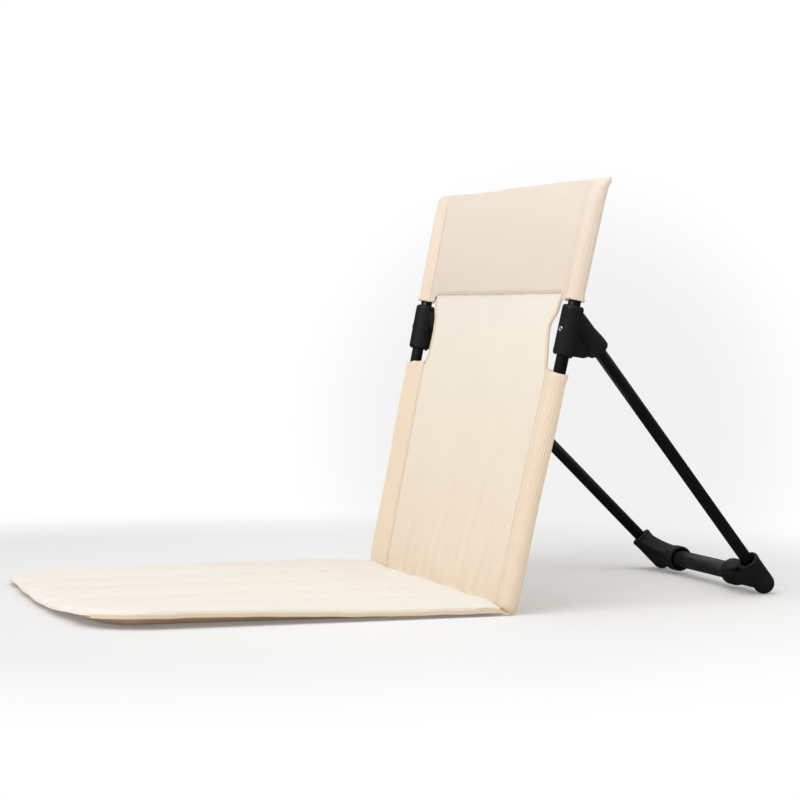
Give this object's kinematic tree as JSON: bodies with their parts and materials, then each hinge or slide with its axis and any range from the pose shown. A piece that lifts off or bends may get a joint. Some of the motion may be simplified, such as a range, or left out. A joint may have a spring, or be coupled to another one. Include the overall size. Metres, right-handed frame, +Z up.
{
  "type": "folding floor chair",
  "caption": "Legless folding floor chair: quilted seat pad, cloth back on leaning poles, and a rear stand of struts and a crossbar that plugs into hubs.",
  "frame": {"origin": "on the floor under the middle of the chair's bounding box", "axes": "+Z up; the sitter faces -Y; +X is the sitter's left"},
  "size_m": [0.5036, 0.7782, 0.4387],
  "materials": {
    "seat_canvas": "fine cream canvas, matte",
    "underside_cloth": "plain-woven lining cloth, matte",
    "binding_tape": "folded and stitched edge tape, matte",
    "foam": "open-cell foam, matte",
    "back_canvas": "fine beige canvas, matte",
    "band_canvas": "doubled beige canvas, matte",
    "black_tube": "satin black powder coat",
    "black_nylon": "fine-grained black nylon",
    "eyelet_metal": "bright plated eyelet",
    "elastic_cord": "braided elastic cord"
  },
  "bodies": {
    "frame": {"crease_tape": "binding_tape", "back_panel": "back_canvas", "top_band": "band_canvas", "lower_sleeve_left": "band_canvas", "lower_sleeve_right": "band_canvas", "upper_pocket_left": "band_canvas", "upper_pocket_right": "band_canvas", "notch_binding_left": "binding_tape", "notch_binding_right": "binding_tape", "pole_left": "black_tube", "pole_right": "black_tube", "pole_top_caps": "black_nylon", "pole_foot_caps": "black_nylon", "pole_hub_left": "black_nylon", "pole_hub_right": "black_nylon", "hub_eyelets": "eyelet_metal"},
    "seat": {"seat_cover": "seat_canvas", "seat_base_cloth": "underside_cloth", "seat_edge_band": "binding_tape", "seat_foam_1": "foam", "seat_foam_2": "foam", "seat_foam_3": "foam", "seat_foam_4": "foam", "seat_foam_5": "foam"},
    "strut_left_body": {"strut_left": "black_tube", "strut_inserts_left": "black_nylon", "elastic_cord_left": "elastic_cord", "foot_hub_left": "black_nylon"},
    "strut_right_body": {"strut_right": "black_tube", "strut_inserts_right": "black_nylon", "elastic_cord_right": "elastic_cord", "foot_hub_right": "black_nylon"},
    "crossbar_body": {"crossbar": "black_tube", "crossbar_inserts": "black_nylon"}
  },
  "joints": [
    {"name": "seat_fold", "type": "hinge", "parent": "frame", "child": "seat", "pos_m": [0, 0.03587, 0.0074], "axis": [-1, 0, 0], "range_deg": [0, 98]},
    {"name": "stand_pull", "type": "slide", "parent": "frame", "child": "strut_left_body", "axis": [-0.2487, 0.6494, -0.7187], "range_m": [0, 0.038]},
    {"name": "stand_pull_right", "type": "slide", "parent": "frame", "child": "strut_right_body", "axis": [0.2487, 0.6494, -0.7187], "range_m": [0, 0.038]},
    {"name": "crossbar_slide", "type": "slide", "parent": "strut_left_body", "child": "crossbar_body", "axis": [1, 0, 0], "range_m": [0, 0.00947]}
  ],
  "couplings": [
    {"joint": "stand_pull_right", "follows": "stand_pull", "ratio": 1},
    {"joint": "crossbar_slide", "follows": "stand_pull", "ratio": 0.24869}
  ]
}
